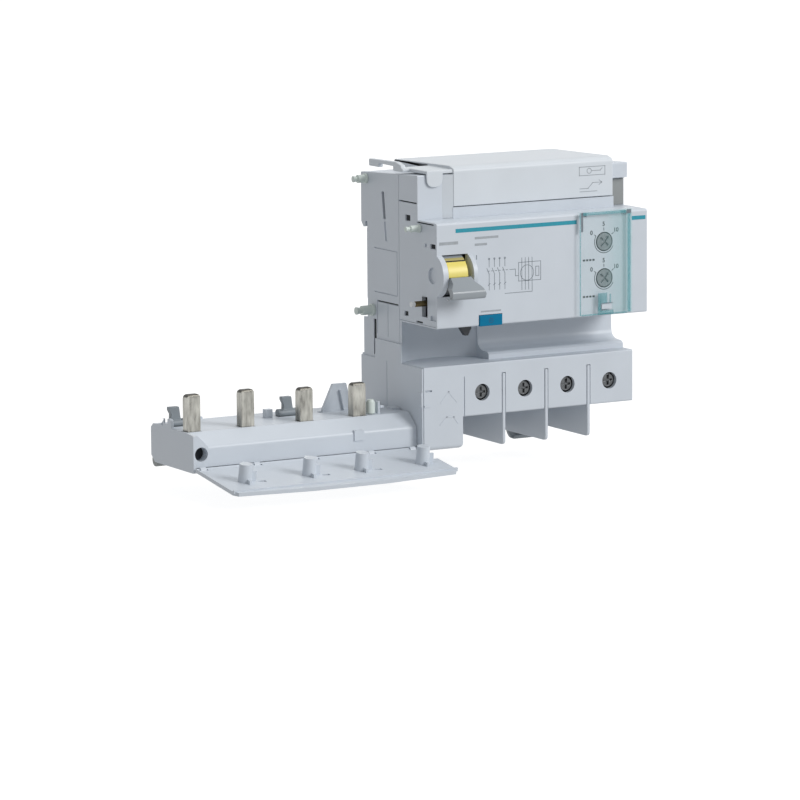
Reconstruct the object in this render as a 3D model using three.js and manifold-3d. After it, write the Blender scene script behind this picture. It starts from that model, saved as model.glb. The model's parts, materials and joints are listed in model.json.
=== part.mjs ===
// Add-on residual current block for a four-pole circuit breaker.
// Millimetres. X runs along the mounting rail, the front is -Y, +Z is up.
// While it is drawn, X = 0 is the left side of the main block. Y = 0 is the face that
// sits on the rail, and Z = 0 the middle of the 45 mm nose. The last lines move X = 0 to
// the middle of the main block.
import * as THREE from "three";
import { mergeVertices } from "three/addons/utils/BufferGeometryUtils.js";
import Module from "manifold-3d";

const wasm = await Module();
wasm.setup();

// ---------------------------------------------------------------- driving dimensions
const MODULE = 17.5; // width of one rail module
const WIDTH = 6 * MODULE; // main block
const WALL = 2;
const GAP = 0.3; // between pieces that lie against each other
const SEAM = -28; // plane where the front housing meets the rear one

const NOSE = { front: -60.4, half: 22.5 };
const SHOULDER = { front: -44.3, top: 41.4, slope: 0.0474 }; // its top falls towards the rear
const TOWER = { left: 16.4, right: 97 }; // shoulders left standing beside the upper cover
const COVER = { left: 16.7, right: 96.7, front: -46, rear: 5.3, bottom: 27.4, top: 44.6 };
const TERMINAL = { front: -48.7, top: -40.4, bottom: -63, left: 19.2 };
const FOOT = -76.5; // lowest face of the left section and of the rear wall
const REAR = { hook: 5, middle: 3.3, low: 4.9 }; // how far the back reaches past the rail face
const RAIL_HALF = 17.5;

const SCREW = { first: 28.9, pitch: 21.4, z: -53.1, head: 3, shank: 2 };
const POLES = [0, 1, 2, 3];
const poleX = (i) => SCREW.first + i * SCREW.pitch;
const BARRIER = { thick: 1.4, top: -45.6, front: -48.9, bottom: -76.8, rear: -6.3 };

const TOGGLE = { y: -56.6, z: 0, ear: 9.5, drum: 8.7, left: 2.5, right: 15 };
const LEVER = { y: -31, z: -12.5, pinY: -49.8 };
const BUTTON = { left: 20.6, right: 31.8, bottom: -22.7, top: -18 };
const WINDOW = { left: 69.4, right: 96.7, bottom: -21.9, top: 23.3, front: -62.4, thick: 1.4 };
const HINGE = { y: -59.4, z: 21.4, pin: 0.45 }; // axis of the window
const DIAL = { x: 83.2, upper: 9.6, lower: -6.2, radius: 3.75, turn: 42 };

const LINK = { left: -108, right: -1, front: -44, rear: -4.6, top: -60.6, bottom: -77, split: -74.6 };
const BLADES = [-103.4, -78, -50, -24.4]; // plug-in blade centres along X
const BLADE = { wide: 6, front: -36, rear: -31.5, top: [-44.8, -44.8, -46.2, -46.2], foot: -73 };
const FLAP = { y: -45.6, z: -75.6, thick: 1.6, length: 35.4, open: 8 }; // hinged terminal cover
const PEGS = [-96, -65.9, -41, -11.5]; // posts on the terminal cover

const WIRE = { radius: 1.8, z: -65, pitch: 3.9, middle: -22 };
const RING = { y: -22, z: -60, outer: 14.5, inner: 10, left: 2.2, right: 10.8 };
const LATCH_X = [26, 80];
const LATCH = { half: 8.7, front: 1.3, rear: 3.2, top: -15.9, tail: -84.3 };

// ---------------------------------------------------------------- solids
function solid(geometry) {
  const bare = geometry.index ? geometry.toNonIndexed() : geometry.clone();
  bare.deleteAttribute("normal");
  bare.deleteAttribute("uv");
  const merged = mergeVertices(bare, 1e-4);
  const data = {
    numProp: 3,
    vertProperties: merged.attributes.position.array,
    triVerts: new Uint32Array(merged.index.array),
  };
  return new wasm.Manifold(new wasm.Mesh(data));
}

const join = (...parts) => parts.flat().reduce((sum, part) => sum.add(part));
const cut = (body, ...tools) => tools.flat().reduce((left, tool) => left.subtract(tool), body);

// A box between two values on each axis.
function block([x0, x1], [y0, y1], [z0, z1]) {
  const geometry = new THREE.BoxGeometry(x1 - x0, y1 - y0, z1 - z0);
  return solid(geometry.translate((x0 + x1) / 2, (y0 + y1) / 2, (z0 + z1) / 2));
}

// Turns a geometry built along local Z so that it runs along the named axis.
// Its outline is then read as (y, z) for X, (x, z) for Y and (x, y) for Z.
function aim(geometry, axis) {
  const basis = new THREE.Matrix4();
  if (axis === "x") basis.set(0, 0, 1, 0, 1, 0, 0, 0, 0, 1, 0, 0, 0, 0, 0, 1);
  if (axis === "y") basis.set(1, 0, 0, 0, 0, 0, -1, 0, 0, 1, 0, 0, 0, 0, 0, 1);
  return geometry.applyMatrix4(basis);
}

// A round bar along an axis; centre holds the two other coordinates.
function rod(axis, [u, v], radius, [from, to], sides = 24, endRadius = radius) {
  const start = axis === "y" ? -to : from;
  const radii = axis === "y" ? [radius, endRadius] : [endRadius, radius];
  const geometry = new THREE.CylinderGeometry(...radii, to - from, sides);
  geometry.rotateX(Math.PI / 2);
  return solid(aim(geometry.translate(u, v, start + (to - from) / 2), axis));
}

// An outline of [u, v] or [u, v, corner radius] points.
function outline(points) {
  const shape = new THREE.Shape();
  points.forEach(([u, v, radius = 0], i) => {
    const corner = new THREE.Vector2(u, v);
    const before = new THREE.Vector2(...points.at(i - 1).slice(0, 2));
    const after = new THREE.Vector2(...points[(i + 1) % points.length].slice(0, 2));
    const enter = corner.clone().add(before.sub(corner).setLength(radius || 1e-9));
    const leave = corner.clone().add(after.sub(corner).setLength(radius || 1e-9));
    const start = radius ? enter : corner;
    if (i) shape.lineTo(start.x, start.y);
    else shape.moveTo(start.x, start.y);
    if (radius) shape.quadraticCurveTo(corner.x, corner.y, leave.x, leave.y);
  });
  return shape;
}

// A plate with that outline, between two values on its axis.
function plate(axis, points, [from, to], curveSegments = 4) {
  const shape = points.isShape ? points : outline(points);
  const geometry = new THREE.ExtrudeGeometry(shape, {
    depth: to - from,
    bevelEnabled: false,
    curveSegments,
  });
  return solid(aim(geometry.translate(0, 0, axis === "y" ? -to : from), axis));
}

// A round wire along a path.
function wire(path, radius, steps, sides = 6) {
  const section = new THREE.Shape();
  for (let i = 0; i < sides; i++) {
    const angle = (2 * Math.PI * i) / sides;
    const point = [radius * Math.cos(angle), radius * Math.sin(angle)];
    if (i) section.lineTo(...point);
    else section.moveTo(...point);
  }
  return solid(new THREE.ExtrudeGeometry(section, { steps, extrudePath: path, bevelEnabled: false }));
}

// A named mesh from a solid.
function piece(name, body, { color, roughness = 0.5, metalness = 0 }) {
  const made = body.getMesh();
  const geometry = new THREE.BufferGeometry();
  geometry.setAttribute("position", new THREE.BufferAttribute(made.vertProperties, 3));
  geometry.setIndex(new THREE.BufferAttribute(made.triVerts, 1));
  geometry.computeVertexNormals();
  const mesh = new THREE.Mesh(geometry, new THREE.MeshStandardMaterial({ color, roughness, metalness }));
  mesh.name = name;
  return mesh;
}

function assembly(...members) {
  const group = new THREE.Group();
  group.add(...members.flat());
  return group;
}

const LOOK = {
  shell: { color: 0xccd3da, roughness: 0.45 },
  shade: { color: 0xa7afb6, roughness: 0.5 },
  peg: { color: 0xdde6df, roughness: 0.4 },
  grey: { color: 0x7f8a92, roughness: 0.5 },
  dark: { color: 0x3a4148, roughness: 0.5 },
  yellow: { color: 0xe6d264, roughness: 0.4 },
  blue: { color: 0x0a76a4, roughness: 0.35 },
  handle: { color: 0xaab0b4, roughness: 0.45 },
  window: { color: 0xa8dcdc, roughness: 0.1 },
  white: { color: 0xf2f4f4, roughness: 0.5 },
  steel: { color: 0x9a9da0, roughness: 0.3, metalness: 1 },
  tin: { color: 0xb9b6a8, roughness: 0.35, metalness: 0.9 },
  brass: { color: 0x8a7440, roughness: 0.4, metalness: 0.9 },
  copper: { color: 0xb87850, roughness: 0.35, metalness: 0.9 },
  wire: { color: 0x33373c, roughness: 0.5 },
  board: { color: 0x2d6b45, roughness: 0.5 },
};

// ---------------------------------------------------------------- main block housings
const shoulderTop = (y) => SHOULDER.top - (y - SHOULDER.front) * SHOULDER.slope;
const across = (margin = 0) => [margin, WIDTH - margin];
const RIGHT_RECESS = -41.5; // front of the right shoulder, below its tab

// The recess between nose and terminals, seen from the side, then down to the terminal face.
const COVE = [
  [-31, -NOSE.half],
  [-31.6, -35.5, 2.4],
  [-34.9, -37.1, 1.4],
  [-39.8, -37.4, 0.6],
  [-41, -38.4],
  [-41, TERMINAL.top],
];

function noseSection() {
  const profile = [
    [SEAM - GAP, COVER.bottom - GAP],
    [COVER.front, COVER.bottom - GAP],
    [COVER.front, NOSE.half],
    [NOSE.front, NOSE.half, 1.2],
    [NOSE.front, -NOSE.half, 0.8],
    ...COVE,
    [TERMINAL.front, TERMINAL.top, 0.6],
    [TERMINAL.front, TERMINAL.bottom, 0.8],
    [SEAM - GAP, TERMINAL.bottom],
  ];
  return cut(
    plate("x", profile, across()),
    block([-1, TOWER.left], [COVER.front - 1, SHOULDER.front], [NOSE.half, COVER.bottom + 1]),
    block([TOWER.right, WIDTH + 1], [COVER.front - 1, RIGHT_RECESS], [NOSE.half, COVER.bottom + 1]),
  );
}

// The two shoulders that stand beside the upper cover.
function shoulders() {
  const rear = SEAM - GAP;
  const left = [
    [SHOULDER.front, NOSE.half - 1],
    [rear, NOSE.half - 1],
    [rear, shoulderTop(rear)],
    [SHOULDER.front, SHOULDER.top, 0.6],
  ];
  const right = [
    [RIGHT_RECESS, NOSE.half - 1],
    [rear, NOSE.half - 1],
    [rear, shoulderTop(rear)],
    [SHOULDER.front, SHOULDER.top, 0.6],
    [SHOULDER.front, 34.8],
    [RIGHT_RECESS, 34.3],
  ];
  return [
    plate("x", left, [0, TOWER.left]),
    plate("x", right, [TOWER.right, WIDTH]),
  ];
}

function toggleEar(from, to) {
  const disc = rod("x", [TOGGLE.y, TOGGLE.z], TOGGLE.ear, [from, to], 40);
  return disc.intersect(block([from, to], [-70, NOSE.front + WALL], [-12, 12]));
}

// Hollows of the front housing, all open to the rear.
function frontHollows() {
  const rear = SEAM + 1;
  const inside = WIDTH - WALL;
  return [
    block([WALL, inside], [NOSE.front + WALL, rear], [2 - NOSE.half, NOSE.half - 2]),
    block([TOWER.left, TOWER.right], [COVER.front + WALL, rear], [NOSE.half - 3, COVER.bottom + 1]),
    block([WALL, TOWER.left - WALL], [SHOULDER.front + WALL, rear], [NOSE.half - 3, 39.2]),
    block([TOWER.right + WALL, inside], [-39.5, rear], [NOSE.half - 3, 38.4]),
    block([TERMINAL.left + 1, inside], [TERMINAL.front + WALL, rear], [-61.2, -42.3]),
  ];
}

// The chamber behind the side cover that holds the sum transformer.
const CHAMBER = { right: 17.2, front: -46.7, top: -42.3, bottom: -74.7 };

function toggleOpening() {
  const mouth = block([TOGGLE.left, TOGGLE.right], [-75, -45], [-8.9, 8.9]);
  const dimple = rod("x", [TOGGLE.y, TOGGLE.z], 3.5, [-1, 0.9]);
  const bore = rod("x", [TOGGLE.y, TOGGLE.z], 1.6, [1.6, TOGGLE.right + 1.2]);
  return [mouth, dimple, bore];
}

// Slots, keyholes and panel lines in the left side of the nose.
function sideDetails() {
  const through = (y, z) => block([-1, WALL + 1], y, z);
  const shallow = (y, z, depth = 0.8) => block([-1, depth], y, z);
  return [
    through([-52.2, -47.4], [-18.4, -9.6]),
    shallow([-38, -33.8], [21.4, 24]),
    shallow([-59.3, -55], [11.4, 13.5]),
    shallow([-59.3, -54.7], [-19.3, -17.2]),
    shallow([-35.8, -32.5], [-19.6, -17.5]),
    shallow([-48.1, -42.4], [-21.4, -20.6]),
    shallow([-43.5, SEAM], [29.2, 29.8]),
    shallow([-57.8, -43.6], [21.3, 21.9]),
    shallow([-59.6, SEAM], [-21.9, -21.6], 0.4),
    rod("x", [-51.1, 12.4], 0.9, [-1, 0.8], 12),
  ];
}

// Hinge notches and dial holes behind the setting window.
const LUGS = [WINDOW.left + 2.3, WINDOW.right - 4.8];

function windowSeat() {
  const { y, z, pin } = HINGE;
  const notch = (x) => block([x - 0.3, x + 2.8], [y - 4, y + 0.9], [z - 0.8, NOSE.half + 1]);
  const bore = (x) => rod("x", [y, z], pin + 0.08, [x - 1.2, x + 3.7], 12);
  const dial = (at) => rod("y", [DIAL.x, at], DIAL.radius + 0.4, [-62, -57], 28);
  return [...LUGS.map(notch), ...LUGS.map(bore), dial(DIAL.upper), dial(DIAL.lower)];
}

// Finger pocket below the nose: an upright trough in the left end of the cove.
const POCKET = { x: 18.35, y: -50.6, radius: 27.6, right: 36.7 };

function pocketTrough() {
  const { x, y, radius, right } = POCKET;
  const trough = rod("z", [x, y], radius, [TERMINAL.top, -NOSE.half], 80);
  return trough.intersect(block([-1, right], [-62, -10], [-60, 0]));
}

// The trough's own wall, which bulges into the rear housing.
function pocketWall() {
  const { x, y, radius } = POCKET;
  const heights = [TERMINAL.top - 1.8, 1.8 - NOSE.half];
  const wall = rod("z", [x, y], radius + 1.6, heights, 80);
  const ends = block([1, 36.4], [-34, -28.1], [-60, 0]);
  return wall.intersect(join(block([2.3, 35.4], [-34, -10], [-60, 0]), ends));
}

// The left section below the cove, with a rounded lower front edge.
function leftSection() {
  const side = [
    [TERMINAL.front, TERMINAL.top],
    [TERMINAL.front, FOOT, 2.2],
    [SEAM - GAP, FOOT],
    [SEAM - GAP, TERMINAL.top],
  ];
  const front = [
    [0, FOOT],
    [TERMINAL.left, FOOT, 2.4],
    [TERMINAL.left, TERMINAL.top],
    [0, TERMINAL.top],
  ];
  const body = plate("x", side, [0, TERMINAL.left]);
  return body.intersect(plate("y", front, [TERMINAL.front - 1, SEAM + 1]));
}

function frontHousing() {
  const body = join(
    noseSection(),
    shoulders(),
    leftSection(),
    pocketWall(),
    toggleEar(0, TOGGLE.left),
    toggleEar(TOGGLE.right, TOGGLE.right + 1.9),
  );
  const holes = POLES.map((i) => rod("y", [poleX(i), SCREW.z], 3.65, [-50, -46], 28));
  const entries = POLES.map((i) => block([poleX(i) - 4.4, poleX(i) + 4.4], [-38, -31], [-64, -60]));
  const grooves = [0, 1, 2].map((i) => {
    const x = poleX(i) + SCREW.pitch / 2;
    const side = BARRIER.thick / 2 + GAP;
    return block([x - side, x + side], [-50, TERMINAL.front + 1.3], [-64, BARRIER.top + GAP]);
  });
  const carved = cut(
    body,
    pocketTrough(),
    frontHollows().map((hollow) => hollow.subtract(pocketWall())),
    block([-1, CHAMBER.right], [CHAMBER.front, SEAM + 1], [CHAMBER.bottom, CHAMBER.top]),
    holes,
    entries,
    grooves,
    block([CHAMBER.right - 1, TERMINAL.left + 2], [-31, SEAM + 1], [-61.2, -52]),
  );
  const catchHook = block([80.9, 85.9], [NOSE.front - 1.8, NOSE.front + 1], [-19.4, -17.4]);
  const cornerRib = block([0.1, 3], [TERMINAL.front - 0.4, TERMINAL.front + 1], [-57.5, -56.5]);
  return cut(
    join(carved, catchHook, cornerRib, toggleBosses()),
    toggleOpening(),
    sideDetails(),
    windowSeat(),
    block([BUTTON.left - 0.2, BUTTON.right + 0.2], [-62, -55], [-24, BUTTON.top + 0.2]),
    block([15.8, 23.4], [-54, -43.6], [-24, -20]),
    block([0.6, 4], [TERMINAL.front - 1, TERMINAL.front + 0.8], [-51, -50.2]),
    block([19.8, 20.2], [TERMINAL.front - 1, TERMINAL.front + 0.4], [-63, -45.6]),
  );
}

// Bearings of the toggle axle, behind the two ears.
function toggleBosses() {
  const boss = (from, to) => block([from, to], [NOSE.front + 1, -52], [-4.5, 4.5]);
  return [boss(1, TOGGLE.left), boss(TOGGLE.right, TOGGLE.right + 1.9)];
}

// The band that lies on the rail. Above and below it the wall stands a little clear.
const SEAT = { low: -15.6, high: 15 };

// Outline of the rear housing, with the fixed hook above the rail.
const REAR_PROFILE = [
  [SEAM, shoulderTop(SEAM)],
  [SEAM, TERMINAL.bottom],
  [-6, TERMINAL.bottom],
  [-6, FOOT],
  [REAR.low, FOOT, 0.8],
  [REAR.low, -40],
  [REAR.middle, -40],
  [REAR.middle, -24],
  [-GAP, -24],
  [-GAP, SEAT.low],
  [0, SEAT.low],
  [0, SEAT.high],
  [-GAP, SEAT.high],
  [-GAP, RAIL_HALF + GAP],
  [1.4, RAIL_HALF + GAP],
  [1.4, 15.6],
  [3, 15.2],
  [REAR.hook, 17.5],
  [REAR.hook, shoulderTop(REAR.hook), 0.8],
];

function rearHollows() {
  const front = SEAM - 1;
  const towerSpan = [26, 37];
  return [
    block([WALL, WIDTH - WALL], [front, -WALL], [-61.2, 26]),
    block([WALL, WIDTH - WALL], [front, 3], [20, 26.5]),
    block([WALL, TOWER.left - WALL], [front, 3], towerSpan),
    block([TOWER.right + WALL, WIDTH - WALL], [front, 3], towerSpan),
    block([TOWER.left, TOWER.right], [front, REAR.hook + 1], [COVER.bottom - GAP, 50]),
    block([TOWER.left + WALL, TOWER.right - WALL], [front, 3], [25, 30]),
    block([-1, CHAMBER.right], [front, -1], [CHAMBER.bottom, -42.6]),
    block([-1, CHAMBER.right], [front, -9.6], [-43, -34.5]),
  ];
}

// Guide for one rail latch, with the post that its spring rests on.
function latchGuide(x) {
  const side = LATCH.half + GAP;
  const span = [x - side, x + side];
  const slot = block(span, [LATCH.front - GAP, LATCH.rear + GAP], [FOOT - 1, -23]);
  const post = rod("y", [x, -60], 1.5, [0, REAR.low - 0.5], 16);
  return { slot, post };
}

function rearHousing() {
  const foot = block([0, TERMINAL.left], [SEAM, -5], [FOOT, TERMINAL.bottom + 1]);
  const guides = LATCH_X.map(latchGuide);
  const shallow = (y, z, depth = 0.8) => block([-1, depth], y, z);
  const slopedSlot = plate(
    "x",
    [[-15.3, 32], [-13.1, 32], [-14.6, 20.2], [-16.7, 20.2]],
    [-1, WALL + 1],
  );
  const groove = plate("x", [[-16.5, 19.2], [-15.1, 19.2], [-16.3, 10.8], [-17.8, 10.8]], [-1, 0.5]);
  const body = cut(
    join(plate("x", REAR_PROFILE, across()), foot),
    rearHollows(),
    guides.map((g) => g.slot),
    slopedSlot,
    groove,
    shallow([-27.2, -8.6], [-16.2, -15.5]),
    shallow([-9, -8.5], [-30, -16], 0.5),
    shallow([-7.8, -5.5], [-39.6, -24], 1.7),
    shallow([-18.2, -17.8], [-30.5, -16.4], 0.4),
    shallow([-26.5, -6.5], [6.9, 7.3], 0.4),
    shallow([-26.5, -6.5], [-12.2, -11.8], 0.4),
    shallow([-26.5, -26.1], [-11.8, 7.3], 0.4),
  );
  return join(body, guides.map((g) => g.post));
}

// Cover over the transformer chamber, standing 0.8 mm proud of the left side.
function sideCover() {
  const edge = [
    [-48.4, -40.7],
    [-30.3, -40.7],
    [-30.3, -32.3],
    [-7.8, -32.3],
    [-7.8, -40.7],
    [REAR.low - GAP, -40.7],
    [REAR.low - GAP, FOOT + GAP],
    [-48.4, FOOT + GAP, 2.2],
  ];
  const spigot = block([-0.1, 1.4], [CHAMBER.front + GAP, -1.4], [CHAMBER.bottom + GAP, -43]);
  const cavity = block([-0.1, 2], [CHAMBER.front + WALL, -3], [CHAMBER.bottom + WALL, -45]);
  const wires = block([-2, 2], [-32, -12.5], [-68.5, -61.5]);
  const line = block([-1, -0.5], [-18.2, -17.8], [-62, -41]);
  const catchPlate = block([-1.1, -0.4], [-48.4, -46.2], [-57.4, -51]);
  return cut(join(plate("x", edge, [-0.8, 0]), cut(spigot, cavity), catchPlate), wires, line);
}

function upperCover() {
  const profile = [
    [COVER.front, COVER.bottom],
    [COVER.front, 43.6, 1.6],
    [-42, COVER.top],
    [COVER.rear, 43.6, 1.2],
    [COVER.rear, COVER.bottom],
  ];
  const hollow = [
    [COVER.front + WALL, COVER.bottom - 1],
    [COVER.front + WALL, 41.8],
    [COVER.rear - WALL, 41.4],
    [COVER.rear - WALL, COVER.bottom - 1],
  ];
  const shell = join(plate("x", profile, [COVER.left, COVER.right]), coverFlange());
  return cut(shell, plate("x", hollow, [COVER.left + WALL, COVER.right - WALL]));
}

// The cover's flange over the left shoulder: a tab hangs in front, a rib stands on its left edge.
function coverFlange() {
  const under = SHOULDER.top + GAP;
  const tab = [
    [3.9, under + 1.5],
    [3.9, 36, 3.9],
    [7.9, 36],
    [11.9, 36, 3.9],
    [11.9, under + 1.5],
  ];
  const rib = [
    [-1.5, under + 0.4],
    [-1.5, 45.2],
    [-25, 45.6],
    [-29.4, 44.4],
    [-29.4, under],
    [-22.6, under],
    [-22.6, 43.6],
    [-10, 43.8],
    [-10, under + 0.4],
  ];
  return [
    block([3.9, COVER.left + 1], [-45.4, -30.6], [under, under + 1.5]),
    block([0.3, COVER.left + 1], [-31, -24.6], [under, under + 1.5]),
    plate("y", tab, [-45.4, SHOULDER.front - GAP]),
    plate("x", rib, [0.3, 2.8]),
  ];
}

function phaseBarrier() {
  const wing = [
    [BARRIER.front, BARRIER.top],
    [BARRIER.front, BARRIER.bottom, 2.2],
    [BARRIER.rear, BARRIER.bottom],
    [BARRIER.rear, TERMINAL.bottom - GAP],
    [TERMINAL.front + 1, TERMINAL.bottom - GAP],
    [TERMINAL.front + 1, BARRIER.top],
  ];
  return plate("x", wing, [-BARRIER.thick / 2, BARRIER.thick / 2]);
}

// A moulded peg with a foot, a barrel and a tapered tip.
function locatingPeg(radius, length) {
  const barrel = 0.68 * length;
  return join(
    rod("x", [0, 0], radius * 1.25, [-0.16 * length, -0.05], 20),
    rod("x", [0, 0], radius, [-barrel, -0.16 * length], 20),
    rod("x", [0, 0], radius * 0.82, [-length, -barrel], 20, radius * 0.55),
  );
}

// ---------------------------------------------------------------- toggle and trip linkage
function toggleDrum() {
  const drum = rod("x", [TOGGLE.y, TOGGLE.z], TOGGLE.drum, [2.9, 12.6], 36);
  const under = block([2, 14], [-70, -60.5], [-12, -0.4]);
  return cut(drum, under, rod("x", [TOGGLE.y, TOGGLE.z], 1.7, [2, 14], 20));
}

// The grey bar that hangs from the drum and couples to the breaker's own toggle.
function toggleHandle() {
  const side = [
    [-65.7, -0.9, 0.5],
    [-67.4, 0],
    [-72.6, -5.8, 1],
    [-72.2, -9, 1.4],
    [-70.6, -9.1],
    [-69.6, -6.2],
    [-66, -2.6],
  ];
  const front = [
    [2.8, 1],
    [12.3, 1],
    [13.6, -2],
    [16.2, -4.2, 1],
    [17.2, -7],
    [16.8, -10],
    [-0.8, -10],
    [-0.8, -8.4],
    [0.7, -8.4],
    [0.9, -4.6],
    [2.6, -2.4],
  ];
  const bar = plate("x", side, [-2, 20]).intersect(plate("y", front, [-80, -60]));
  const root = plate("x", [[-60.9, -2.2], [-66.2, -2.6], [-67, -0.9], [-65.5, -0.7]], [4.6, 11]);
  return join(bar, root);
}

function toggleSpring() {
  const turns = 2;
  const points = [];
  for (let i = 0; i <= 10 * turns; i++) {
    const angle = (2 * Math.PI * i) / 10;
    const at = [13.1 + (1.2 * i) / (10 * turns), TOGGLE.y + 3 * Math.cos(angle), 3 * Math.sin(angle)];
    points.push(new THREE.Vector3(...at));
  }
  return wire(new THREE.CatmullRomCurve3(points), 0.25, 10 * turns, 5);
}

function tripLever() {
  const arm = [
    [LEVER.y + 2.5, -15],
    [LEVER.y + 2.5, -10],
    [-36, -10.6],
    [-51.6, -10.9, 1],
    [-51.6, -14.1, 1],
    [-36, -14.8],
  ];
  const foot = [[17.4, -16], [22.2, -16], [22.2, -24.6], [20.6, -27.6], [19.2, -27.6], [17.2, -24.6]];
  return cut(
    join(
      plate("x", arm, [4, 6.4]),
      block([5, 30], [-40, -36], [-14.6, -12.4]),
      block([5, 21.6], [-51, -48.6], [-14.2, -12.4]),
      plate("y", foot, [-51, -48.6]),
      block([18, 21.4], [-51, -48.6], [-17, -12.6]),
    ),
    rod("x", [LEVER.y, LEVER.z], 1.15, [3, 8], 16),
    rod("x", [LEVER.pinY, LEVER.z], 1.35, [3, 5.2], 16),
  );
}

function testButton() {
  const face = block([BUTTON.left, BUTTON.right], [-60.9, -56.8], [BUTTON.bottom, BUTTON.top]);
  const flange = block([BUTTON.left - 1, BUTTON.right + 1], [-58.1, -56.8], [-20.2, -16]);
  const stem = block([23.6, 28.8], [-57, -48.4], [-20.2, -17]);
  return join(face, flange, stem);
}

// ---------------------------------------------------------------- settings under the window
function settingDial() {
  const body = join(
    rod("y", [0, 0], DIAL.radius, [-60.5, -58.6], 32),
    rod("y", [0, 0], 1.4, [-58.8, -54.2], 16),
  );
  const slot = block([-2.6, 2.6], [-61, -59.7], [-0.45, 0.45]);
  const cross = block([-0.45, 0.45], [-61, -59.7], [-2.6, 2.6]);
  const pointer = plate("y", [[-0.9, 2.2], [0.9, 2.2], [0, 3.3]], [-61, -60]);
  return cut(body, slot, cross, pointer).rotate([0, DIAL.turn, 0]);
}

function settingWindow() {
  const { left, right, bottom, top, front, thick } = WINDOW;
  const rear = NOSE.front - GAP;
  const section = [[front, bottom, 0.6], [front, top, 0.9], [rear, top], [rear, bottom]];
  const hollow = block([left + 2.6, right - 2.9], [front + thick, rear + 1], [bottom + 2, top - 2.4]);
  const tabSlot = block([80.4, 86.3], [front - 1, rear + 1], [-19.8, -17]);
  const bevel = plate(
    "z",
    [[right + 1, front - 1], [right - 2.6, front - 1], [right - 2.6, front], [right + 1, front + 1.2]],
    [bottom - 1, top + 1],
  );
  const lug = (x) => block([x, x + 2.5], [rear - 0.5, HINGE.y + 0.6], [HINGE.z - 0.55, HINGE.z + 0.7]);
  const pin = (x) => rod("x", [HINGE.y, HINGE.z], HINGE.pin, [x - 0.9, x + 3.4], 12);
  const frame = cut(plate("x", section, [left, right]), hollow, tabSlot, bevel);
  return join(frame, LUGS.map(lug), LUGS.map(pin));
}

function trimmer() {
  return cut(
    block([-4.5, 4.5], [-53.6, -50], [-4.5, 4.5]),
    rod("y", [0, 0], 1.55, [-55, -51.4], 16),
  );
}

// ---------------------------------------------------------------- terminals
function terminalScrew() {
  const body = join(
    rod("y", [0, 0], SCREW.head, [-47.3, -45.4], 24),
    rod("y", [0, 0], SCREW.shank, [-45.6, -40.1], 16),
  );
  const slot = (x, z) => block([-x, x], [-48, -46.2], [-z, z]);
  return cut(body, slot(2.2, 0.45), slot(0.45, 2.2));
}

function terminalCage() {
  const body = block([-5.4, 5.4], [-41.8, -30.8], [-59.4, -50]);
  const mouth = block([-4, 4], [-40, -32.4], [-60, -49]);
  const thread = rod("y", [0, SCREW.z], SCREW.shank + 0.1, [-43, -39], 16);
  return cut(body, mouth, thread);
}

// A path of straight runs whose corners are rounded.
function roundedPath(points, radius) {
  const path = new THREE.CurvePath();
  const at = points.map((p) => new THREE.Vector3(...p));
  let from = at[0];
  for (let i = 1; i < at.length - 1; i++) {
    const enter = at[i].clone().add(at[i - 1].clone().sub(at[i]).setLength(radius));
    const leave = at[i].clone().add(at[i + 1].clone().sub(at[i]).setLength(radius));
    path.add(new THREE.LineCurve3(from, enter));
    path.add(new THREE.QuadraticBezierCurve3(enter, at[i], leave));
    from = leave;
  }
  path.add(new THREE.LineCurve3(from, at.at(-1)));
  return path;
}

// Insulated conductor from a blade, through the sum transformer, to its terminal bar.
function conductor(i) {
  const lane = WIRE.middle + (1.5 - i) * WIRE.pitch;
  const x = poleX(i);
  const inside = -57 + 0.1 * i;
  return wire(
    roundedPath(
      [
        [BLADES[i], BLADE.rear + GAP, WIRE.z],
        [BLADES[i], lane, WIRE.z],
        [9.2, lane, WIRE.z],
        [18.4, lane, inside],
        [x, lane, inside],
        [x, lane, -46.3],
        [x, -38.6, -46.3],
      ],
      3.4,
    ),
    WIRE.radius,
    76,
  );
}

function terminalBar() {
  return block([-3.4, 3.4], [-39.6, -38], [-59, -44.4]);
}

function blade(top) {
  const half = BLADE.wide / 2;
  const front = [[-half, BLADE.foot], [half, BLADE.foot], [half, top, 1.6], [-half, top, 1.6]];
  const side = [
    [BLADE.front, BLADE.foot],
    [BLADE.rear, BLADE.foot],
    [BLADE.rear, top - 1.4, 1.4],
    [-33, top, 0.6],
    [BLADE.front + 0.4, top, 0.6],
    [BLADE.front, top - 1.4],
  ];
  return plate("y", front, [-40, -28]).intersect(plate("x", side, [-8, 8]));
}

// ---------------------------------------------------------------- transformer, boards and relay
function ring(outer, inner, [from, to]) {
  const centre = [RING.y, RING.z];
  return cut(rod("x", centre, outer, [from, to], 32), rod("x", centre, inner, [from - 1, to + 1], 32));
}

function transformerCase() {
  const shell = ring(RING.outer, RING.inner, [RING.left, RING.right]);
  return cut(shell, ring(RING.outer - 1, RING.inner + 1, [RING.left + 1, RING.right + 1]));
}

const transformerCore = () =>
  ring(RING.outer - 1.2, RING.inner + 1.2, [RING.left + 1.2, RING.right - 0.4]);

function mainBoard() {
  const sheet = block([22, 93], [-20, -18.4], [-18, 36]);
  const chips = [[50, 14, 9], [66, 22, 7], [80, 4, 8], [44, -8, 6]].map(([x, z, size]) =>
    block([x, x + size], [-22.4, -19.8], [z, z + size * 0.7]),
  );
  return join(sheet, chips);
}

function settingBoard() {
  return block([70, 100], [-49.7, -48.1], [-17, 18]);
}

function tripRelay() {
  const body = block([21, 38], [-45, -31], [-7.4, 9]);
  return cut(body, rod("z", [27, -38], 1.4, [-8, 3], 16));
}

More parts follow.
